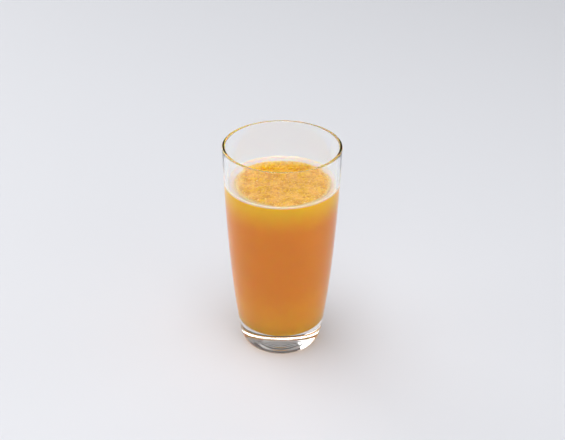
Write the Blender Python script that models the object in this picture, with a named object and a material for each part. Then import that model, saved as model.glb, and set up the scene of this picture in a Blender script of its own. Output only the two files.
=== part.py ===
"""A clear tumbler with a thick base, holding orange juice with pulpy froth on top.

Metres, +Z up. The origin is the centre of the tumbler's flat foot.
"""

import math
import random

import bmesh
import bpy
from mathutils import Matrix, Vector

# Tumbler
HEIGHT = 0.1400
OUTER_STATIONS = (
    (0.000, 0.02505),
    (0.021, 0.02853),
    (0.049, 0.03185),
    (0.084, 0.03462),
    (0.112, 0.03613),
    (0.140, 0.03711),
)
HEEL_HEIGHT = 0.0080
HEEL_WIDTH = 0.0041
WALL_AT_RIM = 0.0019
WALL_AT_FOOT = 0.0030
FLOOR_HEIGHT = 0.0138
FLOOR_CORNER = 0.0120

# Juice
GAP = 0.0003
LEVEL = 0.1146
MENISCUS_RISE = 0.0014
MENISCUS_REACH = 0.0016

# Froth
FROTH_RADIUS = 0.0285
FROTH_THICKNESS = 0.0008
FROTH_EDGE = 0.0030
LUMP_COUNT = 20
STRAND_COUNT = 16
SEED = 11

SEGMENTS = 64


def outer_radius_of_cone(height):
    """Smooth curve through the measured radii, before the heel is rounded."""
    heights = [station[0] for station in OUTER_STATIONS]
    radii = [station[1] for station in OUTER_STATIONS]
    steps = [(radii[i + 1] - radii[i]) / (heights[i + 1] - heights[i]) for i in range(len(radii) - 1)]
    slopes = [steps[0] * 1.12]
    for i in range(1, len(steps)):
        slopes.append(2 * steps[i - 1] * steps[i] / (steps[i - 1] + steps[i]))
    slopes.append(steps[-1] * 0.9)
    height = min(max(height, heights[0]), heights[-1])
    i = 0
    while i < len(steps) - 1 and height > heights[i + 1]:
        i += 1
    length = heights[i + 1] - heights[i]
    t = (height - heights[i]) / length
    return (
        radii[i] * (1 + 2 * t) * (1 - t) ** 2
        + slopes[i] * length * t * (1 - t) ** 2
        + radii[i + 1] * t * t * (3 - 2 * t)
        + slopes[i + 1] * length * t * t * (t - 1)
    )


def outer_radius(height):
    """Outside of the tumbler, with its rounded heel."""
    radius = outer_radius_of_cone(height)
    if height < HEEL_HEIGHT:
        drop = (HEEL_HEIGHT - height) / HEEL_HEIGHT
        radius -= HEEL_WIDTH * (1 - math.sqrt(max(0.0, 1 - drop * drop)))
    return radius


def wall_radius(height):
    """Inside of the wall, which thickens towards the foot."""
    share = 1 - height / HEIGHT
    thickness = WALL_AT_RIM + (WALL_AT_FOOT - WALL_AT_RIM) * share
    return outer_radius_of_cone(height) - thickness


def corner_point(angle, inset=0.0):
    """Point on the rounded corner between floor and wall; angle 0 is at the wall."""
    height = FLOOR_HEIGHT + FLOOR_CORNER * (1 - math.sin(angle))
    centre_radius = wall_radius(height) - FLOOR_CORNER
    corner = FLOOR_CORNER - inset
    return (
        centre_radius + corner * math.cos(angle),
        FLOOR_HEIGHT + FLOOR_CORNER - corner * math.sin(angle),
    )


def juice_surface(radius):
    """Height of the juice: level in the middle, climbing where it wets the wall."""
    contact_radius = wall_radius(LEVEL + MENISCUS_RISE) - GAP
    distance = max(0.0, contact_radius - radius)
    return LEVEL + MENISCUS_RISE * math.exp(-distance / MENISCUS_REACH)


def glass_profile():
    """Half section from the middle of the foot, up outside, over the rim and down inside."""
    points = [(0.0, 0.0)]
    heel_steps = 7
    for i in range(heel_steps + 1):
        height = HEEL_HEIGHT * (1 - math.cos(math.pi / 2 * i / heel_steps))
        points.append((outer_radius(height), height))
    lip = WALL_AT_RIM / 2
    wall_steps = 11
    for i in range(1, wall_steps + 1):
        height = HEEL_HEIGHT + (HEIGHT - lip - HEEL_HEIGHT) * i / wall_steps
        points.append((outer_radius(height), height))
    lip_steps = 6
    lip_radius = outer_radius(HEIGHT - lip) - lip
    for i in range(1, lip_steps):
        angle = math.pi * i / lip_steps
        points.append((lip_radius + lip * math.cos(angle), HEIGHT - lip + lip * math.sin(angle)))
    corner_top = FLOOR_HEIGHT + FLOOR_CORNER
    for i in range(wall_steps):
        height = HEIGHT - lip - (HEIGHT - lip - corner_top) * i / wall_steps
        points.append((wall_radius(height), height))
    corner_steps = 8
    for i in range(corner_steps + 1):
        points.append(corner_point(math.pi / 2 * i / corner_steps))
    points.append((0.0, FLOOR_HEIGHT))
    return points


def juice_profile():
    """Half section from the middle of the floor, up the wall, over the climbing edge, to the middle."""
    points = [(0.0, FLOOR_HEIGHT + GAP)]
    corner_steps = 8
    for i in range(corner_steps, -1, -1):
        points.append(corner_point(math.pi / 2 * i / corner_steps, GAP))
    corner_top = FLOOR_HEIGHT + FLOOR_CORNER
    contact = LEVEL + MENISCUS_RISE
    wall_steps = 8
    for i in range(1, wall_steps + 1):
        height = corner_top + (contact - corner_top) * i / wall_steps
        points.append((wall_radius(height) - GAP, height))
    contact_radius = wall_radius(contact) - GAP
    edge_steps = 7
    for i in range(1, edge_steps + 1):
        radius = contact_radius - 4 * MENISCUS_REACH * (i / edge_steps) ** 1.5
        points.append((radius, juice_surface(radius)))
    points.append((0.0, LEVEL))
    return points


def new_object(name, mesh_builder, material, collection=None):
    """Make a named object from a bmesh, with its material and smooth shading."""
    mesh = bpy.data.meshes.new(name)
    mesh_builder.to_mesh(mesh)
    mesh_builder.free()
    mesh.materials.append(material)
    mesh.shade_smooth()
    mesh.set_sharp_from_angle(angle=math.radians(40))
    made = bpy.data.objects.new(name, mesh)
    (collection or bpy.context.scene.collection).objects.link(made)
    return made


def turn(points):
    """Spin a half section about the Z axis into a closed body."""
    turned = bmesh.new()
    verts = [turned.verts.new((radius, 0.0, height)) for radius, height in points]
    edges = [turned.edges.new(pair) for pair in zip(verts, verts[1:])]
    bmesh.ops.spin(
        turned,
        geom=verts + edges,
        cent=(0.0, 0.0, 0.0),
        axis=(0.0, 0.0, 1.0),
        angle=2 * math.pi,
        steps=SEGMENTS,
        use_merge=True,
    )
    bmesh.ops.remove_doubles(turned, verts=turned.verts, dist=0.000001)
    bmesh.ops.recalc_face_normals(turned, faces=turned.faces)
    return turned


def principled(name, color, roughness, metallic=0.0):
    """A plain surface of one colour."""
    material = bpy.data.materials.new(name)
    material.use_nodes = True
    surface = material.node_tree.nodes["Principled BSDF"]
    surface.inputs["Base Color"].default_value = (*color, 1.0)
    surface.inputs["Roughness"].default_value = roughness
    surface.inputs["Metallic"].default_value = metallic
    return material


def froth_outline(angle):
    """How far the froth spreads in each direction, as a share of its radius."""
    return 1 + 0.022 * math.sin(3 * angle + 0.6) + 0.014 * math.sin(7 * angle) + 0.010 * math.sin(13 * angle + 1.9)


def froth_top(x, y):
    """Height of the froth's uneven top over the juice below it."""
    radius = math.hypot(x, y)
    limit = FROTH_RADIUS * froth_outline(math.atan2(y, x))
    inward = min(1.0, max(0.0, (limit - radius) / FROTH_EDGE))
    rounded = math.sqrt(1 - (1 - inward) ** 2)
    swell = math.sin(x * 430 + 1.1) * math.cos(y * 390 - 0.4) + 0.7 * math.sin((x + y) * 700)
    return FROTH_THICKNESS * rounded * (1 + 0.22 * swell)


def froth_raft():
    """A thin disc of froth that follows the juice, with an uneven edge and top."""
    rings = 10
    half_section = [(0.0, 0.0)]
    for i in range(1, rings + 1):
        half_section.append((math.sin(math.pi / 2 * i / rings), 0.0))
    half_section.append((1.0, 0.5))
    for i in range(rings, -1, -1):
        half_section.append((math.sin(math.pi / 2 * i / rings), 1.0))
    raft = turn(half_section)
    for vert in raft.verts:
        share = math.hypot(vert.co.x, vert.co.y)
        angle = math.atan2(vert.co.y, vert.co.x)
        bulge = 1.0 + (0.006 if abs(vert.co.z - 0.5) < 0.1 else 0.0)
        radius = share * FROTH_RADIUS * froth_outline(angle) * bulge
        x = radius * math.cos(angle)
        y = radius * math.sin(angle)
        edge = 0.00022
        height = juice_surface(radius) + GAP
        height += vert.co.z * (edge + froth_top(x, y))
        vert.co = Vector((x, y, height))
    bmesh.ops.recalc_face_normals(raft, faces=raft.faces)
    return raft


def scattered_places(count, clear, limit, draw):
    """Seeded places on the froth, each at least the clear distance from the others."""
    places = []
    tries = 0
    while len(places) < count and tries < 4000:
        tries += 1
        radius = limit * math.sqrt(draw.random())
        angle = draw.uniform(0, 2 * math.pi)
        place = Vector((radius * math.cos(angle), radius * math.sin(angle)))
        if all((place - other).length > clear for other in places):
            places.append(place)
    return places


def froth_lump(width, depth, height, turn_angle, place):
    """A low cushion of froth, half sunk in the raft."""
    lump = bmesh.new()
    bmesh.ops.create_icosphere(lump, subdivisions=2, radius=1.0)
    for vert in lump.verts:
        if vert.co.z < 0:
            vert.co.z *= 0.3
    level = juice_surface(place.length) + GAP + 0.5 * FROTH_THICKNESS
    shape = Matrix.Diagonal((width / 2, depth / 2, height, 1.0))
    spot = Matrix.Translation((place.x, place.y, level))
    bmesh.ops.transform(lump, matrix=spot @ Matrix.Rotation(turn_angle, 4, "Z") @ shape, verts=lump.verts)
    return lump


def pulp_strand(length, width, bend, turn_angle, place):
    """A short curved shred of pulp lying on the raft."""
    strand = bmesh.new()
    bmesh.ops.create_uvsphere(strand, u_segments=8, v_segments=6, radius=1.0)
    bmesh.ops.rotate(strand, matrix=Matrix.Rotation(math.pi / 2, 3, "Y"), verts=strand.verts)
    for vert in strand.verts:
        along = vert.co.x
        vert.co.x = along * length / 2
        vert.co.y = vert.co.y * width / 2 + bend * (1 - along * along)
        vert.co.z = vert.co.z * width * 0.45
    level = juice_surface(place.length) + GAP + 1.0 * FROTH_THICKNESS
    spot = Matrix.Translation((place.x, place.y, level))
    bmesh.ops.transform(strand, matrix=spot @ Matrix.Rotation(turn_angle, 4, "Z"), verts=strand.verts)
    return strand


def build_froth(material):
    """Fuse lumps and strands onto the raft, so that the froth is one closed body."""
    raft = new_object("froth", froth_raft(), material)
    relief = bpy.data.collections.new("froth_relief")
    bpy.context.scene.collection.children.link(relief)
    draw = random.Random(SEED)
    for index, place in enumerate(scattered_places(LUMP_COUNT, 0.0068, 0.0240, draw)):
        width = draw.uniform(0.0038, 0.0064)
        depth = width * draw.uniform(0.6, 0.9)
        height = draw.uniform(0.0007, 0.0010)
        lump = froth_lump(width, depth, height, draw.uniform(0, math.pi), place)
        new_object("lump_%02d" % index, lump, material, relief)
    for index, place in enumerate(scattered_places(STRAND_COUNT, 0.0080, 0.0250, draw)):
        length = draw.uniform(0.0030, 0.0055)
        width = draw.uniform(0.0007, 0.0010)
        strand = pulp_strand(length, width, draw.uniform(-0.0008, 0.0008), draw.uniform(0, math.pi), place)
        new_object("strand_%02d" % index, strand, material, relief)

    union = raft.modifiers.new("fuse", "BOOLEAN")
    union.operation = "UNION"
    union.operand_type = "COLLECTION"
    union.collection = relief
    union.solver = "EXACT"
    bpy.context.view_layer.update()
    fused = bpy.data.meshes.new_from_object(raft.evaluated_get(bpy.context.evaluated_depsgraph_get()))
    raft.modifiers.remove(union)
    for piece in list(relief.objects):
        bpy.data.objects.remove(piece)
    bpy.data.collections.remove(relief)

    tidy = bmesh.new()
    tidy.from_mesh(fused)
    bmesh.ops.dissolve_degenerate(tidy, dist=0.00002, edges=tidy.edges)
    bmesh.ops.triangulate(tidy, faces=tidy.faces)
    tidy.to_mesh(fused)
    tidy.free()
    fused.shade_smooth()
    fused.set_sharp_from_angle(angle=math.radians(40))
    raft.data = fused
    return raft


def main():
    for existing in list(bpy.data.objects):
        bpy.data.objects.remove(existing)

    clear_glass = principled("clear_glass", (0.82, 0.86, 0.83), 0.02)
    orange_juice = principled("orange_juice", (0.66, 0.27, 0.035), 0.25)
    juice_froth = principled("juice_froth", (0.80, 0.42, 0.09), 0.45)

    new_object("glass", turn(glass_profile()), clear_glass)
    new_object("juice", turn(juice_profile()), orange_juice)
    build_froth(juice_froth)


main()
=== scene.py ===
# %% [markdown]
# # A glass of orange juice
#
# This lesson dresses a finished CAD model for a photograph-like picture. The CAD model is a tall
# tumbler with a thick base, the juice in it and a thin raft of pulpy froth on top. Each of them
# gets a finer mesh here, and materials made from shader nodes.
#
# Everything is in metres, with +Z up and the origin in the middle of the tumbler's foot.

# %% Load the frame
import math
import random

import bmesh
import bpy
from mathutils import Euler, Matrix, Vector, noise


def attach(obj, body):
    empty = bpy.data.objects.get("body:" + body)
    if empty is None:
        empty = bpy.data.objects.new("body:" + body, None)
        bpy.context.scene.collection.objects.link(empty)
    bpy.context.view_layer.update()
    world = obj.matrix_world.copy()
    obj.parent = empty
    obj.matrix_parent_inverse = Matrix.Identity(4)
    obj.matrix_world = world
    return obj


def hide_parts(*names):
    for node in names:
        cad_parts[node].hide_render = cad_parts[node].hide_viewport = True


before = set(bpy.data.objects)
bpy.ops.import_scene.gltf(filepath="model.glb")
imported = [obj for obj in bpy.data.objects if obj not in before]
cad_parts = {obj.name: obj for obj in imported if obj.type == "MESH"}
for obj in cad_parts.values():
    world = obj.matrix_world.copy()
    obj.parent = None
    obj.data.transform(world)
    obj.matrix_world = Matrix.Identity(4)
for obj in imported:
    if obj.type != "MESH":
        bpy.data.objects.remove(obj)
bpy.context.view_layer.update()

# %% [markdown]
# ## The tumbler's sizes
#
# A tumbler is a turned shape: one half section, spun about the Z axis. Its outside is a soft
# curve through a few measured radii. Its foot ends in a rounded heel, its lip is ground flat and
# fire-polished at the corners, and its inner floor meets the wall in a wide round corner, because
# hot glass flows that way in the mould. A curve object could hold this outline. Functions that
# give the radius at any height are used here instead, because glass and juice can share them and
# so always fit each other. Between two measured radii the curve is a cubic. At each of them it
# takes the harmonic mean of the slopes on both sides, so it never bulges in between.

# %% Sizes of the tumbler and its contents
HEIGHT = 0.1400
OUTER_STATIONS = (
    (0.000, 0.02505),
    (0.021, 0.02853),
    (0.049, 0.03185),
    (0.084, 0.03462),
    (0.112, 0.03613),
    (0.140, 0.03711),
)
HEEL_HEIGHT = 0.0080
HEEL_WIDTH = 0.0041
WALL_AT_RIM = 0.0019
WALL_AT_FOOT = 0.0030
FLOOR_HEIGHT = 0.0138
FLOOR_CORNER = 0.0120
LEVEL = 0.1146
MENISCUS_RISE = 0.0014
MENISCUS_REACH = 0.0016
CONTACT = LEVEL + MENISCUS_RISE
print("tumbler %.1f mm tall, juice %.1f mm deep" % (HEIGHT * 1000, (LEVEL - FLOOR_HEIGHT) * 1000))

# %% Radius functions
SLOPE_AT_FOOT = 1.12
SLOPE_AT_RIM = 0.9


def outer_radius_of_cone(height):
    """Smooth curve through the measured radii, before the heel is rounded."""
    heights = [station[0] for station in OUTER_STATIONS]
    radii = [station[1] for station in OUTER_STATIONS]
    steps = [(radii[i + 1] - radii[i]) / (heights[i + 1] - heights[i]) for i in range(len(radii) - 1)]
    slopes = [steps[0] * SLOPE_AT_FOOT]
    for i in range(1, len(steps)):
        slopes.append(2 * steps[i - 1] * steps[i] / (steps[i - 1] + steps[i]))
    slopes.append(steps[-1] * SLOPE_AT_RIM)
    height = min(max(height, heights[0]), heights[-1])
    i = 0
    while i < len(steps) - 1 and height > heights[i + 1]:
        i += 1
    length = heights[i + 1] - heights[i]
    t = (height - heights[i]) / length
    return (
        radii[i] * (1 + 2 * t) * (1 - t) ** 2
        + slopes[i] * length * t * (1 - t) ** 2
        + radii[i + 1] * t * t * (3 - 2 * t)
        + slopes[i + 1] * length * t * t * (t - 1)
    )


def outer_radius(height):
    """Outside of the tumbler, with its rounded heel."""
    radius = outer_radius_of_cone(height)
    if height < HEEL_HEIGHT:
        drop = (HEEL_HEIGHT - height) / HEEL_HEIGHT
        radius -= HEEL_WIDTH * (1 - math.sqrt(max(0.0, 1 - drop * drop)))
    return radius


def wall_radius(height):
    """Inside of the wall, which thickens towards the foot."""
    share = 1 - height / HEIGHT
    thickness = WALL_AT_RIM + (WALL_AT_FOOT - WALL_AT_RIM) * share
    return outer_radius_of_cone(height) - thickness


def corner_point(angle, reach=0.0):
    """Point on the round corner between floor and wall, angle 0 at the wall, reach into the glass."""
    height = FLOOR_HEIGHT + FLOOR_CORNER * (1 - math.sin(angle))
    centre_radius = wall_radius(height) - FLOOR_CORNER
    corner = FLOOR_CORNER + reach
    return (
        centre_radius + corner * math.cos(angle),
        FLOOR_HEIGHT + FLOOR_CORNER - corner * math.sin(angle),
    )


def juice_surface(radius):
    """Height of the juice: level in the middle, climbing where it wets the wall."""
    distance = max(0.0, wall_radius(CONTACT) - radius)
    return LEVEL + MENISCUS_RISE * math.exp(-distance / MENISCUS_REACH)


print("rim radius %.2f mm, foot radius %.2f mm" % (outer_radius(HEIGHT) * 1000, outer_radius(0) * 1000))

# %% [markdown]
# ## Turning a half section
#
# Three meshes are turned: the tumbler, the juice and the disc that becomes the froth. A Screw
# modifier could turn them too, but an operator leaves a plain mesh whose points can be moved
# straight away. A chain of edges is the half section, and `bmesh.ops.spin` sweeps it about the Z
# axis. A full turn is given `use_merge`, which joins the last copy to the first. The points on
# the axis then lie on top of each other, so doubles are merged, and the faces are made to point
# outwards.

# %% Helpers for meshes
TURN_STEPS = 256
MERGE_DISTANCE = 0.000001


def turned_mesh(points, steps=TURN_STEPS):
    """Spin a half section about the Z axis into a closed body."""
    turned = bmesh.new()
    verts = [turned.verts.new((radius, 0.0, height)) for radius, height in points]
    edges = [turned.edges.new(pair) for pair in zip(verts, verts[1:])]
    bmesh.ops.spin(
        turned,
        geom=verts + edges,
        cent=(0.0, 0.0, 0.0),
        axis=(0.0, 0.0, 1.0),
        angle=2 * math.pi,
        steps=steps,
        use_merge=True,
    )
    bmesh.ops.remove_doubles(turned, verts=turned.verts, dist=MERGE_DISTANCE)
    bmesh.ops.recalc_face_normals(turned, faces=turned.faces)
    return turned


def finished(name, shape, material):
    """Turn a bmesh into a smooth named object that rides on the tumbler's body."""
    mesh = bpy.data.meshes.new(name)
    shape.to_mesh(mesh)
    shape.free()
    mesh.materials.append(material)
    mesh.shade_smooth()
    piece = bpy.data.objects.new(name, mesh)
    bpy.context.scene.collection.objects.link(piece)
    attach(piece, "root")
    mesh.calc_loop_triangles()
    print(name, len(mesh.loop_triangles), "triangles")
    return piece


print("a full turn has", TURN_STEPS, "steps")

# %% [markdown]
# ## Glass
#
# Clear glass is a Principled BSDF with full transmission. Real glass has a trace of green that
# grows with its thickness, and a volume inside could absorb light that way. In a tumbler as clear
# as this one, a base colour that is very nearly white looks the same and is simpler: it filters
# light a little each time that it passes a surface. Refraction would keep the lamps' light out of
# the glass, as Cycles can't aim at a lamp through a lens, so shadow rays see a nearly clear
# Transparent BSDF instead.

# %% Clear glass
GLASS_TINT = (0.994, 0.997, 0.994, 1.0)
SHADOW_TINT = (0.94, 0.955, 0.94, 1.0)
GLASS_IOR = 1.5


def clear_glass_material():
    material = bpy.data.materials.new("clear_glass")
    material.use_nodes = True
    tree = material.node_tree
    tree.nodes.clear()
    output = tree.nodes.new("ShaderNodeOutputMaterial")
    glass = tree.nodes.new("ShaderNodeBsdfPrincipled")
    glass.inputs["Base Color"].default_value = GLASS_TINT
    glass.inputs["Roughness"].default_value = 0.0
    glass.inputs["IOR"].default_value = GLASS_IOR
    glass.inputs["Metallic"].default_value = 0.0
    glass.inputs["Transmission Weight"].default_value = 1.0
    see_through = tree.nodes.new("ShaderNodeBsdfTransparent")
    see_through.inputs["Color"].default_value = SHADOW_TINT
    light_path = tree.nodes.new("ShaderNodeLightPath")
    choose = tree.nodes.new("ShaderNodeMixShader")
    tree.links.new(light_path.outputs["Is Shadow Ray"], choose.inputs[0])
    tree.links.new(glass.outputs[0], choose.inputs[1])
    tree.links.new(see_through.outputs[0], choose.inputs[2])
    tree.links.new(choose.outputs[0], output.inputs["Surface"])
    return material


clear_glass = clear_glass_material()
print(clear_glass.name, "has", len(clear_glass.node_tree.nodes), "nodes")

# %% [markdown]
# ## The tumbler
#
# The half section starts under the foot and runs up the outside, over the lip and down inside to
# the middle of the floor. The underside is slightly hollow, so the tumbler stands on a narrow
# ring. Pressing leaves faint ripples in the hollow, a twentieth of a millimetre deep. They can
# hardly be felt, but they streak everything that the thick base bends into view. The lip is half
# a superellipse, which is flatter on top than half a circle.

# %% The tumbler
FOOT_HOLLOW = 0.0014
FOOT_RING = 0.0022
RIPPLE_COUNT = 7
RIPPLE_DEPTH = 0.00005
RIPPLE_STEPS = 12
LIP_HEIGHT = 0.0007
LIP_SQUARENESS = 3.0
HEEL_STEPS = 20
LIP_STEPS = 24
WALL_STEPS = 48
CORNER_STEPS = 24


def tumbler_profile():
    """Half section: slightly hollow foot, heel, outside, lip, inside, corner, floor."""
    foot = outer_radius(0.0)
    points = [(0.0, FOOT_HOLLOW + RIPPLE_DEPTH)]
    hollow_steps = RIPPLE_STEPS * RIPPLE_COUNT
    for i in range(1, hollow_steps + 1):
        share = i / hollow_steps
        ripple = RIPPLE_DEPTH * (1 - share ** 6) * math.cos(2 * math.pi * RIPPLE_COUNT * share)
        points.append((share * (foot - FOOT_RING), FOOT_HOLLOW * (1 - share ** 4) + ripple))
    for i in range(HEEL_STEPS + 1):
        height = HEEL_HEIGHT * (1 - math.cos(math.pi / 2 * i / HEEL_STEPS))
        points.append((outer_radius(height), height))
    for i in range(1, WALL_STEPS + 1):
        height = HEEL_HEIGHT + (HEIGHT - LIP_HEIGHT - HEEL_HEIGHT) * i / WALL_STEPS
        points.append((outer_radius(height), height))
    half_wall = WALL_AT_RIM / 2
    lip_radius = outer_radius(HEIGHT - LIP_HEIGHT) - half_wall
    for i in range(1, LIP_STEPS):
        angle = math.pi * i / LIP_STEPS
        side = math.copysign(abs(math.cos(angle)) ** (2 / LIP_SQUARENESS), math.cos(angle))
        rise = math.sin(angle) ** (2 / LIP_SQUARENESS)
        points.append((lip_radius + half_wall * side, HEIGHT - LIP_HEIGHT + LIP_HEIGHT * rise))
    corner_top = FLOOR_HEIGHT + FLOOR_CORNER
    for i in range(WALL_STEPS):
        height = HEIGHT - LIP_HEIGHT - (HEIGHT - LIP_HEIGHT - corner_top) * i / WALL_STEPS
        points.append((wall_radius(height), height))
    for i in range(CORNER_STEPS + 1):
        points.append(corner_point(math.pi / 2 * i / CORNER_STEPS))
    points.append((0.0, FLOOR_HEIGHT))
    return points


tumbler = finished("tumbler", turned_mesh(tumbler_profile()), clear_glass)
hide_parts("glass")

# %% [markdown]
# ## Shared effects
#
# A few small shader groups serve the juice and the froth, so that no material has to repeat
# their nodes. `Pulp Mottle` puts out a soft cloudy mask and a fine one, as suspended pulp is
# never even. `Height Mask` rises from 0 to 1 between two heights on the object, and `Height
# Blend` uses it to fade between two colours. `Ring Mask` rises between two distances from an
# upright line. Groups put out colours and masks only; the Principled BSDF stays in each material.

# %% Pulp mottle


def group_socket(group, name, direction, kind, value=None):
    """Add one input or output to a shader group."""
    socket = group.interface.new_socket(name, in_out=direction, socket_type=kind)
    if value is not None:
        socket.default_value = value


def pulp_mottle_group():
    group = bpy.data.node_groups.new("Pulp Mottle", "ShaderNodeTree")
    group_socket(group, "Cloud Scale", "INPUT", "NodeSocketFloat", 90.0)
    group_socket(group, "Grain Scale", "INPUT", "NodeSocketFloat", 900.0)
    group_socket(group, "Cloud", "OUTPUT", "NodeSocketFloat")
    group_socket(group, "Grain", "OUTPUT", "NodeSocketFloat")
    nodes, links = group.nodes, group.links
    entry = nodes.new("NodeGroupInput")
    leave = nodes.new("NodeGroupOutput")
    place = nodes.new("ShaderNodeTexCoord")
    cloud = nodes.new("ShaderNodeTexNoise")
    cloud.inputs["Detail"].default_value = 3.0
    cloud.inputs["Distortion"].default_value = 0.4
    grain = nodes.new("ShaderNodeTexNoise")
    grain.inputs["Detail"].default_value = 4.0
    grain.inputs["Roughness"].default_value = 0.65
    for texture, scale in ((cloud, "Cloud Scale"), (grain, "Grain Scale")):
        links.new(place.outputs["Object"], texture.inputs["Vector"])
        links.new(entry.outputs[scale], texture.inputs["Scale"])
    for texture, low, high, name in ((cloud, 0.35, 0.65, "Cloud"), (grain, 0.33, 0.67, "Grain")):
        stretch = nodes.new("ShaderNodeMapRange")
        stretch.interpolation_type = "SMOOTHSTEP"
        stretch.inputs["From Min"].default_value = low
        stretch.inputs["From Max"].default_value = high
        links.new(texture.outputs["Fac"], stretch.inputs["Value"])
        links.new(stretch.outputs["Result"], leave.inputs[name])
    return group


pulp_mottle = pulp_mottle_group()
print(pulp_mottle.name, "has", len(pulp_mottle.nodes), "nodes")

# %% Height mask


def height_mask_group():
    group = bpy.data.node_groups.new("Height Mask", "ShaderNodeTree")
    group_socket(group, "Low Height", "INPUT", "NodeSocketFloat", 0.0)
    group_socket(group, "High Height", "INPUT", "NodeSocketFloat", 1.0)
    group_socket(group, "Mask", "OUTPUT", "NodeSocketFloat")
    nodes, links = group.nodes, group.links
    entry = nodes.new("NodeGroupInput")
    leave = nodes.new("NodeGroupOutput")
    place = nodes.new("ShaderNodeTexCoord")
    axes = nodes.new("ShaderNodeSeparateXYZ")
    fade = nodes.new("ShaderNodeMapRange")
    fade.interpolation_type = "SMOOTHSTEP"
    links.new(place.outputs["Object"], axes.inputs[0])
    links.new(axes.outputs["Z"], fade.inputs["Value"])
    links.new(entry.outputs["Low Height"], fade.inputs["From Min"])
    links.new(entry.outputs["High Height"], fade.inputs["From Max"])
    links.new(fade.outputs["Result"], leave.inputs["Mask"])
    return group


height_mask = height_mask_group()
print(height_mask.name, "has", len(height_mask.nodes), "nodes")

# %% Ring mask


def ring_mask_group():
    group = bpy.data.node_groups.new("Ring Mask", "ShaderNodeTree")
    group_socket(group, "Inner Radius", "INPUT", "NodeSocketFloat", 0.0)
    group_socket(group, "Outer Radius", "INPUT", "NodeSocketFloat", 1.0)
    group_socket(group, "Centre", "INPUT", "NodeSocketVector", (0.0, 0.0, 0.0))
    group_socket(group, "Mask", "OUTPUT", "NodeSocketFloat")
    nodes, links = group.nodes, group.links
    entry = nodes.new("NodeGroupInput")
    leave = nodes.new("NodeGroupOutput")
    place = nodes.new("ShaderNodeTexCoord")
    offset = nodes.new("ShaderNodeVectorMath")
    offset.operation = "SUBTRACT"
    flat = nodes.new("ShaderNodeVectorMath")
    flat.operation = "MULTIPLY"
    flat.inputs[1].default_value = (1.0, 1.0, 0.0)
    distance = nodes.new("ShaderNodeVectorMath")
    distance.operation = "LENGTH"
    fade = nodes.new("ShaderNodeMapRange")
    fade.interpolation_type = "SMOOTHSTEP"
    links.new(place.outputs["Object"], offset.inputs[0])
    links.new(entry.outputs["Centre"], offset.inputs[1])
    links.new(offset.outputs["Vector"], flat.inputs[0])
    links.new(flat.outputs["Vector"], distance.inputs[0])
    links.new(distance.outputs["Value"], fade.inputs["Value"])
    links.new(entry.outputs["Inner Radius"], fade.inputs["From Min"])
    links.new(entry.outputs["Outer Radius"], fade.inputs["From Max"])
    links.new(fade.outputs["Result"], leave.inputs["Mask"])
    return group


ring_mask = ring_mask_group()
print(ring_mask.name, "has", len(ring_mask.nodes), "nodes")

# %% Height blend


def height_blend_group(mask_group):
    group = bpy.data.node_groups.new("Height Blend", "ShaderNodeTree")
    group_socket(group, "Low Color", "INPUT", "NodeSocketColor", (1.0, 1.0, 1.0, 1.0))
    group_socket(group, "High Color", "INPUT", "NodeSocketColor", (1.0, 1.0, 1.0, 1.0))
    group_socket(group, "Low Height", "INPUT", "NodeSocketFloat", 0.0)
    group_socket(group, "High Height", "INPUT", "NodeSocketFloat", 1.0)
    group_socket(group, "Color", "OUTPUT", "NodeSocketColor")
    nodes, links = group.nodes, group.links
    entry = nodes.new("NodeGroupInput")
    leave = nodes.new("NodeGroupOutput")
    fade = nodes.new("ShaderNodeGroup")
    fade.node_tree = mask_group
    mix = nodes.new("ShaderNodeMix")
    mix.data_type = "RGBA"
    links.new(entry.outputs["Low Height"], fade.inputs["Low Height"])
    links.new(entry.outputs["High Height"], fade.inputs["High Height"])
    links.new(fade.outputs["Mask"], mix.inputs[0])
    links.new(entry.outputs["Low Color"], mix.inputs[6])
    links.new(entry.outputs["High Color"], mix.inputs[7])
    links.new(mix.outputs[2], leave.inputs["Color"])
    return group


height_blend = height_blend_group(height_mask)
print(height_blend.name, "has", len(height_blend.nodes), "nodes")

# %% Helpers for materials


def use_group(tree, group, **values):
    """Place a shader group in a material, with its own input values."""
    node = tree.nodes.new("ShaderNodeGroup")
    node.node_tree = group
    for name, value in values.items():
        node.inputs[name.replace("_", " ")].default_value = value
    return node


def feed(tree, socket, value):
    """Give an input its value: a link from another node, or a plain number or colour."""
    if isinstance(value, bpy.types.NodeSocket):
        tree.links.new(value, socket)
    else:
        socket.default_value = value


def mix_colors(tree, factor, low, high):
    """Mix two colour outputs or plain colours by a factor output or number."""
    mix = tree.nodes.new("ShaderNodeMix")
    mix.data_type = "RGBA"
    for socket, value in ((mix.inputs[0], factor), (mix.inputs[6], low), (mix.inputs[7], high)):
        feed(tree, socket, value)
    return mix.outputs[2]


def scaled(tree, value, factor):
    """Multiply a mask by a number or by another mask."""
    product = tree.nodes.new("ShaderNodeMath")
    product.operation = "MULTIPLY"
    feed(tree, product.inputs[0], value)
    feed(tree, product.inputs[1], factor)
    return product.outputs[0]
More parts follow.
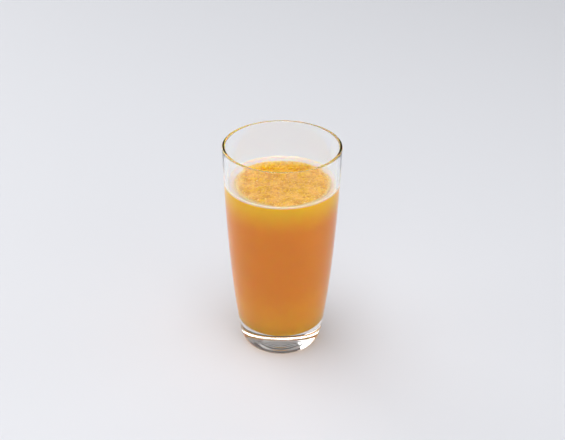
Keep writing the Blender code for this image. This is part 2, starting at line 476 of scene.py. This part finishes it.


# %% [markdown]
# ## Juice
#
# Orange juice is cloudy: light goes a few millimetres in, scatters off the pulp and comes out
# again. A scattering volume would be truer, but it is slow and grainy, and subsurface scattering
# gives the same soft look from the surface alone. The colour isn't even. Deep down it is a
# strong orange, and near the top and at the foot more daylight reaches it, so it turns yellower.
# Height blends in a row give these zones. Between the froth and the wall the open surface is
# painted in rings that fade through cream to nearly white: a painted reflection of the bright
# room in the wet surface and in its edge, which climbs the wall. The froth has drifted a little to
# the front right, so these rings are off centre too.
#
# The body reaches a little way into the wall, so that no film of air shows between the two. Glass
# and juice bend light nearly alike, so the juice behind the wall has no gloss of its own. Only
# its free surface is wet, and a coat with a height mask gives it that.

# %% Juice material
WALL_OVERLAP = 0.00025
FOOT_ORANGE = (0.97, 0.42, 0.0, 1.0)
DEEP_ORANGE = (0.875, 0.318, 0.0, 1.0)
TOP_ORANGE = (1.0, 0.60, 0.0, 1.0)
# The next two colours, cream and nearly white, are the painted reflection of the bright room on the wet
# edge.
CREAM_REFLECTION_COLOR = (0.66, 0.43, 0.26, 1.0)
PALE_REFLECTION_COLOR = (0.62, 0.57, 0.56, 1.0)
DARK_PULP = (0.62, 0.16, 0.0, 1.0)
BRIGHT_PULP = (1.0, 0.62, 0.02, 1.0)
JUICE_ZONES = (
    (0.022, 0.062, DEEP_ORANGE),
    (0.093, LEVEL, TOP_ORANGE),
)
# These rings are a painted reflection of the bright room: cream first, then nearly white where the wet
# edge climbs the wall.
PAINTED_REFLECTION_RINGS = (
    (0.0268, 0.0290, CREAM_REFLECTION_COLOR),
    (0.0302, 0.0332, PALE_REFLECTION_COLOR),
)
REFLECTION_RING_CENTRE = (0.0009, -0.0022, 0.0)
WET_ABOVE = LEVEL - 0.0001
WET_FULLY = LEVEL - 0.00001
JUICE_CLOUD = 0.08
JUICE_GRAIN = 0.06
SCATTER_COLOR = (1.0, 0.45, 0.12)
JUICE_SCATTER = 0.006


def zoned_color(tree, start_color, zones):
    """Colours stacked by height: each zone fades into the next one between two heights."""
    color = None
    for low_height, high_height, high_color in zones:
        blend = use_group(tree, height_blend, Low_Height=low_height, High_Height=high_height)
        blend.inputs["High Color"].default_value = high_color
        if color is None:
            blend.inputs["Low Color"].default_value = start_color
        else:
            tree.links.new(color, blend.inputs["Low Color"])
        color = blend.outputs["Color"]
    return color


def juice_material():
    material = bpy.data.materials.new("orange_juice")
    material.use_nodes = True
    tree = material.node_tree
    surface = tree.nodes["Principled BSDF"]
    zones = zoned_color(tree, FOOT_ORANGE, JUICE_ZONES)
    wet = use_group(tree, height_mask, Low_Height=WET_ABOVE, High_Height=WET_FULLY)
    # Paint the reflection of the bright room as pale rings on the wet open surface only.
    for ring_start, ring_end, reflection_color in PAINTED_REFLECTION_RINGS:
        ring = use_group(tree, ring_mask, Inner_Radius=ring_start, Outer_Radius=ring_end)
        ring.inputs["Centre"].default_value = REFLECTION_RING_CENTRE
        painted_reflection_mask = scaled(tree, ring.outputs["Mask"], wet.outputs["Mask"])
        zones = mix_colors(tree, painted_reflection_mask, zones, reflection_color)
    mottle = use_group(tree, pulp_mottle, Cloud_Scale=85.0, Grain_Scale=700.0)
    cloudy = mix_colors(tree, scaled(tree, mottle.outputs["Cloud"], JUICE_CLOUD), zones, DARK_PULP)
    grainy = mix_colors(tree, scaled(tree, mottle.outputs["Grain"], JUICE_GRAIN), cloudy, BRIGHT_PULP)
    tree.links.new(grainy, surface.inputs["Base Color"])
    surface.inputs["Roughness"].default_value = 0.3
    surface.inputs["IOR"].default_value = 1.35
    surface.inputs["Specular IOR Level"].default_value = 0.0
    surface.inputs["Subsurface Weight"].default_value = 1.0
    surface.inputs["Subsurface Radius"].default_value = SCATTER_COLOR
    surface.inputs["Subsurface Scale"].default_value = JUICE_SCATTER
    tree.links.new(wet.outputs["Mask"], surface.inputs["Coat Weight"])
    surface.inputs["Coat Roughness"].default_value = 0.05
    surface.inputs["Coat IOR"].default_value = 1.34
    return material


orange_juice = juice_material()
print(orange_juice.name, "has", len(orange_juice.node_tree.nodes), "nodes")

# %% [markdown]
# The juice's half section is filled in from the same functions as the tumbler's inside, each
# point a little further out. Its top is level, but for the last few millimetres, where it climbs
# the wall. The climb falls off as an exponential, so its points are set closest at the wall.

# %% The juice
EDGE_STEPS = 28
EDGE_REACHES = 5
EDGE_CROWDING = 1.5


def juice_profile():
    """Half section: floor, corner, wall, climbing edge, level top."""
    points = [(0.0, FLOOR_HEIGHT - WALL_OVERLAP)]
    for i in range(CORNER_STEPS, -1, -1):
        points.append(corner_point(math.pi / 2 * i / CORNER_STEPS, WALL_OVERLAP))
    corner_top = FLOOR_HEIGHT + FLOOR_CORNER
    for i in range(1, WALL_STEPS + 1):
        height = corner_top + (CONTACT - corner_top) * i / WALL_STEPS
        points.append((wall_radius(height) + WALL_OVERLAP, height))
    contact_radius = wall_radius(CONTACT)
    for i in range(EDGE_STEPS + 1):
        radius = contact_radius - EDGE_REACHES * MENISCUS_REACH * (i / EDGE_STEPS) ** EDGE_CROWDING
        points.append((radius, juice_surface(radius)))
    points.append((0.0, LEVEL))
    return points


juice = finished("juice_body", turned_mesh(juice_profile()), orange_juice)
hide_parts("juice")

# %% [markdown]
# ## Froth
#
# Freshly poured juice carries a thin raft of fine foam and pulp. It has an uneven edge, low
# swells and a grain about as fine as sand. The raft starts as a turned disc with many rings, and
# each point is then moved by a sum of noises at several sizes, as a sculptor would add lumps
# before grain. Each noise in `RELIEF` has a scale, a layer of its own and a share of the height.
# A Displace modifier could lift the points as well, but a function can also tell the pulp and the
# bubbles how high the froth stands under them.
#
# Its colour follows its relief: it is darker and redder in the pits and paler and yellower on the
# crests. Towards the raft's edge the froth is thin and creamy, in a strip that is wide at the back
# and narrow in front; its extra width at the back and the left, towards the window lamp, is painted
# light. Relief and thinness, which carries that painted light as well, are stored on the points as
# attributes, which the material reads.

# %% Froth material
PIT_ORANGE = (0.43, 0.15, 0.0, 1.0)
CREST_YELLOW = (0.75, 0.415, 0.0, 1.0)
PALE_FOAM = (0.82, 0.435, 0.130, 1.0)
# Cream of the thin edge, which also serves as painted light where the strip widens towards the window
# lamp.
THIN_AND_WINDOW_LIT_FOAM = (0.70, 0.52, 0.24, 1.0)
FROTH_CLOUD = 0.46
FROTH_GRAIN = 0.35
FROTH_SCATTER = 0.0005


def froth_material():
    material = bpy.data.materials.new("juice_froth")
    material.use_nodes = True
    tree = material.node_tree
    surface = tree.nodes["Principled BSDF"]
    relief = tree.nodes.new("ShaderNodeAttribute")
    relief.attribute_name = "relief"
    thin = tree.nodes.new("ShaderNodeAttribute")
    thin.attribute_name = "thin"
    mottle = use_group(tree, pulp_mottle, Cloud_Scale=130.0, Grain_Scale=650.0)
    base = mix_colors(tree, relief.outputs["Fac"], PIT_ORANGE, CREST_YELLOW)
    grain = mix_colors(tree, scaled(tree, mottle.outputs["Grain"], FROTH_GRAIN), base, CREST_YELLOW)
    patch = mix_colors(tree, scaled(tree, mottle.outputs["Cloud"], FROTH_CLOUD), grain, PALE_FOAM)
    # The cream strip of the thin edge, widened at the back and left as painted light from the window
    # lamp.
    creamy_and_lit = mix_colors(tree, thin.outputs["Fac"], patch, THIN_AND_WINDOW_LIT_FOAM)
    tree.links.new(creamy_and_lit, surface.inputs["Base Color"])
    surface.inputs["Roughness"].default_value = 0.4
    surface.inputs["IOR"].default_value = 1.35
    surface.inputs["Specular IOR Level"].default_value = 0.06
    surface.inputs["Subsurface Weight"].default_value = 1.0
    surface.inputs["Subsurface Radius"].default_value = SCATTER_COLOR
    surface.inputs["Subsurface Scale"].default_value = FROTH_SCATTER
    return material


juice_froth = froth_material()
print(juice_froth.name, "has", len(juice_froth.node_tree.nodes), "nodes")

# %% The froth's outline
FROTH_RADIUS = 0.0303
DRIFT_RIGHT = 0.013
DRIFT_FORWARD = 0.030
LOBES = ((3, 0.6, 0.018), (7, 0.0, 0.012))
RAGGED_SHARE = 0.010
RAGGED_SCALE = 9
RAGGED_LAYER = 4


def froth_outline(angle):
    """How far the froth spreads in each direction, as a share of its radius."""
    broad = 1.0
    for lobe_count, turn, share in LOBES:
        broad += share * math.sin(lobe_count * angle + turn)
    around = Vector((RAGGED_SCALE * math.cos(angle), RAGGED_SCALE * math.sin(angle), RAGGED_LAYER))
    fine = RAGGED_SHARE * noise.noise(around)
    drift = DRIFT_RIGHT * math.cos(angle) - DRIFT_FORWARD * math.sin(angle)
    return broad + fine + drift


widest = max(froth_outline(math.radians(degree)) for degree in range(360))
print("the froth reaches %.1f mm from the axis at most" % (widest * FROTH_RADIUS * 1000))

# %% The froth's top
FROTH_THICKNESS = 0.0009
FROTH_EDGE = 0.0035
FROTH_SINK = 0.00005
RELIEF = ((150, 1.0, 0.30), (420, 5.0, 0.50), (1100, 9.0, 0.40))


def froth_relief(x, y):
    """Swells, lumps and grain of the froth's top, as a share of its thickness."""
    relief = 0.0
    for scale, layer, share in RELIEF:
        relief += share * noise.noise(Vector((x * scale, y * scale, layer)))
    return relief


def froth_height(x, y):
    """Height of the froth's top at a place, falling to the juice at the raft's edge."""
    radius = math.hypot(x, y)
    edge = FROTH_RADIUS * froth_outline(math.atan2(y, x))
    inward = min(1.0, max(0.0, edge - radius) / FROTH_EDGE)
    rounded = math.sqrt(max(0.0, 1 - (1 - inward) ** 2))
    return juice_surface(radius) - FROTH_SINK + FROTH_THICKNESS * rounded * (1 + froth_relief(x, y))


print("the froth's middle stands at %.2f mm" % (froth_height(0.0, 0.0) * 1000))

# %% The froth raft
RAFT_RINGS = 110
RAFT_STEPS = 360
UNDERSIDE_RINGS = 8
UNDERSIDE_DEPTH = 0.0002
RELIEF_CONTRAST = 1.6
THIN_AND_LIT_REACH = 0.0056
# How much wider the cream strip is at the back and the left, towards the window lamp: painted light.
WINDOW_LIGHT_AT_BACK = 0.85
WINDOW_LIGHT_AT_LEFT = 0.2
THIN_FADE = 1.8


def froth_raft():
    """A thin disc that follows the juice, with an uneven edge and a grainy top."""
    half_section = [(0.0, 0.0)]
    for i in range(1, UNDERSIDE_RINGS + 1):
        half_section.append((i / UNDERSIDE_RINGS, 0.0))
    for i in range(RAFT_RINGS, -1, -1):
        half_section.append((i / RAFT_RINGS, 1.0))
    raft = turned_mesh(half_section, RAFT_STEPS)
    relief_layer = raft.verts.layers.float.new("relief")
    thin_and_lit_layer = raft.verts.layers.float.new("thin")
    for vert in raft.verts:
        share = math.hypot(vert.co.x, vert.co.y)
        angle = math.atan2(vert.co.y, vert.co.x)
        radius = share * FROTH_RADIUS * froth_outline(angle)
        x = radius * math.cos(angle)
        y = radius * math.sin(angle)
        top = vert.co.z > 0.5
        height = froth_height(x, y) if top else juice_surface(radius) - UNDERSIDE_DEPTH
        inward = (1 - share) * FROTH_RADIUS * froth_outline(angle)
        vert[relief_layer] = 0.5 + RELIEF_CONTRAST * froth_relief(x, y)
        # The cream strip reaches further at the back and the left, towards the window lamp; that extra
        # width is painted light.
        reach = THIN_AND_LIT_REACH * (1 + WINDOW_LIGHT_AT_BACK * math.sin(angle) - WINDOW_LIGHT_AT_LEFT * math.cos(angle))
        vert[thin_and_lit_layer] = max(0.0, 1 - inward / reach) ** THIN_FADE
        vert.co = Vector((x, y, height))
    bmesh.ops.recalc_face_normals(raft, faces=raft.faces)
    return raft


froth = finished("froth_raft", froth_raft(), juice_froth)
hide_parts("froth")

# %% [markdown]
# ## Pulp and bubbles
#
# Close up, the froth is full of torn juice sacs and tiny bubbles. A particle system could scatter
# them. Here each kind is one mesh of several hundred small closed bodies, because copies made one
# by one can each be bent and set on the froth's own relief. One body has only 48 faces, which is
# plenty at this size. Random numbers with a fixed seed give every bit its place, size and tone,
# and the tone is kept as an attribute for the material.

# %% Pulp and bubble materials
DARK_SLIVER = (0.58, 0.23, 0.0, 1.0)
LIGHT_SLIVER = (0.86, 0.48, 0.07, 1.0)
DARK_BUBBLE = (0.76, 0.38, 0.04, 1.0)
LIGHT_BUBBLE = (0.96, 0.68, 0.30, 1.0)
TONE_GRAIN = 0.3


def toned_material(name, dark, light, roughness):
    """Wet translucent material whose colour follows each small body's own tone."""
    material = bpy.data.materials.new(name)
    material.use_nodes = True
    tree = material.node_tree
    surface = tree.nodes["Principled BSDF"]
    tone = tree.nodes.new("ShaderNodeAttribute")
    tone.attribute_name = "tone"
    mottle = use_group(tree, pulp_mottle, Cloud_Scale=400.0, Grain_Scale=2500.0)
    body_color = mix_colors(tree, tone.outputs["Fac"], dark, light)
    grainy = mix_colors(tree, scaled(tree, mottle.outputs["Grain"], TONE_GRAIN), body_color, light)
    tree.links.new(grainy, surface.inputs["Base Color"])
    surface.inputs["Roughness"].default_value = roughness
    surface.inputs["IOR"].default_value = 1.35
    surface.inputs["Subsurface Weight"].default_value = 1.0
    surface.inputs["Subsurface Radius"].default_value = (1.0, 0.5, 0.2)
    surface.inputs["Subsurface Scale"].default_value = FROTH_SCATTER
    return material


pulp_material = toned_material("juice_pulp", DARK_SLIVER, LIGHT_SLIVER, 0.3)
bubble_material = toned_material("juice_bubble", DARK_BUBBLE, LIGHT_BUBBLE, 0.12)
print(pulp_material.name, "and", bubble_material.name, "read the attribute tone")

# %% Small bodies
BODY_SEGMENTS = 8
BODY_RINGS = 6


def ball_template():
    """One unit ball, which every small body is a reshaped copy of."""
    ball = bmesh.new()
    ball.verts.layers.float.new("tone")
    bmesh.ops.create_uvsphere(ball, u_segments=BODY_SEGMENTS, v_segments=BODY_RINGS, radius=1.0)
    return ball


def add_small_body(target, ball, reshape, tone):
    """Copy the ball, move each point with the given function, and add the copy to a bmesh."""
    body = ball.copy()
    tone_layer = body.verts.layers.float["tone"]
    for vert in body.verts:
        vert.co = reshape(vert.co)
        vert[tone_layer] = tone
    carrier = bpy.data.meshes.new("small_body")
    body.to_mesh(carrier)
    body.free()
    target.from_mesh(carrier)
    bpy.data.meshes.remove(carrier)


def froth_place(draw, inner, outer):
    """A random place on the froth, between two shares of its radius."""
    angle = draw.uniform(0, 2 * math.pi)
    share = math.sqrt(draw.uniform(inner * inner, outer * outer))
    radius = share * FROTH_RADIUS * froth_outline(angle)
    return radius * math.cos(angle), radius * math.sin(angle)


# %% Pulp on the froth
PULP_COUNT = 620
PULP_SEED = 7
PULP_REACH = 0.97
SLIVER_SHORTEST = 0.0004
SLIVER_SPREAD = 0.0011
SLIVER_WIDTHS = (0.28, 0.55)
SLIVER_DEPTHS = (0.5, 0.9)
SLIVER_THICKEST = 0.00032
SLIVER_LEAN = 0.2
SLIVER_BEND = 0.35
SLIVER_SINK = 0.15


def froth_pulp():
    """Torn juice sacs: flat, bent slivers half sunk in the froth."""
    draw = random.Random(PULP_SEED)
    pulp = bmesh.new()
    ball = ball_template()
    for _ in range(PULP_COUNT):
        x, y = froth_place(draw, 0.0, PULP_REACH)
        length = SLIVER_SHORTEST + SLIVER_SPREAD * draw.random() ** 2
        width = length * draw.uniform(*SLIVER_WIDTHS)
        thickness = min(SLIVER_THICKEST, width * draw.uniform(*SLIVER_DEPTHS))
        lean_x = draw.uniform(-SLIVER_LEAN, SLIVER_LEAN)
        lean_y = draw.uniform(-SLIVER_LEAN, SLIVER_LEAN)
        turn = Euler((lean_x, lean_y, draw.uniform(0, math.pi))).to_matrix()
        bend = draw.uniform(-SLIVER_BEND, SLIVER_BEND) / length
        place = Vector((x, y, froth_height(x, y) - SLIVER_SINK * thickness))

        def sliver(point):
            along = point.x * length
            across = point.y * width + bend * along ** 2
            return turn @ Vector((along, across, point.z * thickness)) + place

        add_small_body(pulp, ball, sliver, draw.random())
    ball.free()
    return pulp


pulp_piece = finished("froth_pulp", froth_pulp(), pulp_material)

# %% Bubbles on the froth
BUBBLE_COUNT = 420
BUBBLE_SEED = 23
BUBBLE_SMALLEST = 0.00016
BUBBLE_SPREAD = 0.00034
BUBBLE_LIFT = 0.1
CROWDED_FROM = 0.90
CROWDED_TO = 1.02
SPARSE_TO = 0.9


def froth_bubbles():
    """Little domes: a third of them all over the raft, the others crowded along its edge."""
    draw = random.Random(BUBBLE_SEED)
    bubbles = bmesh.new()
    ball = ball_template()
    for i in range(BUBBLE_COUNT):
        at_edge = i % 3 != 0
        inner, outer = (CROWDED_FROM, CROWDED_TO) if at_edge else (0.0, SPARSE_TO)
        x, y = froth_place(draw, inner, outer)
        radius = BUBBLE_SMALLEST + BUBBLE_SPREAD * draw.random() ** 3
        place = Vector((x, y, froth_height(x, y) + BUBBLE_LIFT * radius))

        def dome(point):
            return point * radius + place

        add_small_body(bubbles, ball, dome, draw.random())
    ball.free()
    return bubbles


bubbles_piece = finished("froth_bubbles", froth_bubbles(), bubble_material)

# %% [markdown]
# ## Stage, lights and camera
#
# The object stands on a plain pale floor under large soft lamps: strong ones overhead, a window
# behind to the left and weaker fills around. A picture of a real room could light it too, but
# each lamp can be set by itself. Clear glass is drawn by what it bends into view. Its thick base
# and its rim show the low part of the room, so the world is nearly dark, and only the window
# flashes white in the base.

# %% Floor
FLOOR_COLOR = (0.715, 0.725, 0.765, 1.0)
FLOOR_HALF_WIDTH = 3.0
FLOOR_DROP = 0.00005


def floor_material():
    material = bpy.data.materials.new("pale_floor")
    material.use_nodes = True
    surface = material.node_tree.nodes["Principled BSDF"]
    surface.inputs["Base Color"].default_value = FLOOR_COLOR
    surface.inputs["Roughness"].default_value = 0.6
    return material


floor_shape = bmesh.new()
bmesh.ops.create_grid(floor_shape, x_segments=1, y_segments=1, size=FLOOR_HALF_WIDTH)
bmesh.ops.translate(floor_shape, verts=floor_shape.verts, vec=(0.0, 0.0, -FLOOR_DROP))
floor_mesh = bpy.data.meshes.new("floor")
floor_shape.to_mesh(floor_mesh)
floor_shape.free()
floor_mesh.materials.append(floor_material())
floor = bpy.data.objects.new("floor", floor_mesh)
bpy.context.scene.collection.objects.link(floor)
print("the floor is", 2 * FLOOR_HALF_WIDTH, "m wide")

# %% [markdown]
# Each lamp is a square of diffuse light on a dome around the glass, turned towards its middle.
# The list gives its azimuth from +Y towards +X, its elevation above the glass and its power.

# %% Lamps
LAMP_REACH = 1.9
LAMP_SIZE = 1.3
LAMP_TARGET = Vector((0.0, 0.0, 0.06))
LAMPS = (
    ("overhead_front", 180, 76, 20.2),
    ("overhead_left", 270, 76, 10.4),
    ("overhead_back", 0, 76, 1.6),
    ("window_back_left", 315, 22, 11.6),
    ("fill_left", 270, 22, 4.8),
    ("fill_right", 90, 22, 4.8),
    ("fill_front_right", 135, 22, 5.4),
    ("fill_front_low", 180, 22, 2.6),
    ("fill_front", 180, 50, 1.2),
    ("fill_back", 0, 50, 1.4),
    ("fill_back_right", 45, 50, 1.0),
)


def soft_lamp(name, azimuth, elevation, power):
    """A square lamp on the dome, aimed at the glass."""
    light = bpy.data.lights.new(name, "AREA")
    light.shape = "SQUARE"
    light.size = LAMP_SIZE
    light.energy = power
    around = math.radians(azimuth)
    above = math.radians(elevation)
    outward = Vector((
        math.cos(above) * math.sin(around),
        math.cos(above) * math.cos(around),
        math.sin(above),
    ))
    lamp = bpy.data.objects.new(name, light)
    lamp.location = LAMP_TARGET + LAMP_REACH * outward
    lamp.rotation_euler = (-outward).to_track_quat("-Z", "Y").to_euler()
    bpy.context.scene.collection.objects.link(lamp)


for lamp_name, azimuth, elevation, power in LAMPS:
    soft_lamp(lamp_name, azimuth, elevation, power)
print(len(LAMPS), "lamps give", round(sum(lamp[3] for lamp in LAMPS), 1), "W")

# %% [markdown]
# Light runs along inside a clear wall by bouncing from side to side, so it needs many bounces
# before it comes out again. With the usual few, the lip would turn black.

# %% Light paths
cycles = bpy.context.scene.cycles
cycles.max_bounces = 32
cycles.glossy_bounces = 12
cycles.transmission_bounces = 32
print("a ray may bounce", cycles.max_bounces, "times")

# %% [markdown]
# The room's own light is weak, and the picture is shown without a film curve, so that white stays
# white.

# %% World
WORLD_STRENGTH = 0.08

world = bpy.data.worlds.new("studio")
world.use_nodes = True
world.node_tree.nodes["Background"].inputs["Color"].default_value = (1.0, 1.0, 1.0, 1.0)
world.node_tree.nodes["Background"].inputs["Strength"].default_value = WORLD_STRENGTH
bpy.context.scene.world = world
bpy.context.scene.view_settings.view_transform = "Standard"
print("world strength", WORLD_STRENGTH)

# %% [markdown]
# The camera looks along +Y and down at the glass, and leans by half a degree, as a hand-held one
# does. Its lens is given by its focal length in pixels, which a fit of the outline measures.

# %% Camera
CAMERA_DISTANCE = 0.840
CAMERA_PITCH = math.radians(29.23)
CAMERA_ROLL = math.radians(-0.46)
AIM = Vector((0.00053, 0.0, 0.0876))
SENSOR_WIDTH = 36.0
FOCAL_PIXELS = 1326.0
IMAGE_WIDTH = 565

lens = bpy.data.cameras.new("camera")
lens.sensor_width = SENSOR_WIDTH
lens.lens = FOCAL_PIXELS / IMAGE_WIDTH * SENSOR_WIDTH
lens.clip_start = 0.01
camera = bpy.data.objects.new("camera", lens)
bpy.context.scene.collection.objects.link(camera)
tilt = Matrix.Rotation(math.pi / 2 - CAMERA_PITCH, 4, "X") @ Matrix.Rotation(-CAMERA_ROLL, 4, "Z")
toward = Vector((0.0, math.cos(CAMERA_PITCH), -math.sin(CAMERA_PITCH)))
camera.matrix_world = Matrix.Translation(AIM - CAMERA_DISTANCE * toward) @ tilt
bpy.context.scene.camera = camera
print("lens %.1f mm, %.2f m from the glass" % (lens.lens, CAMERA_DISTANCE))
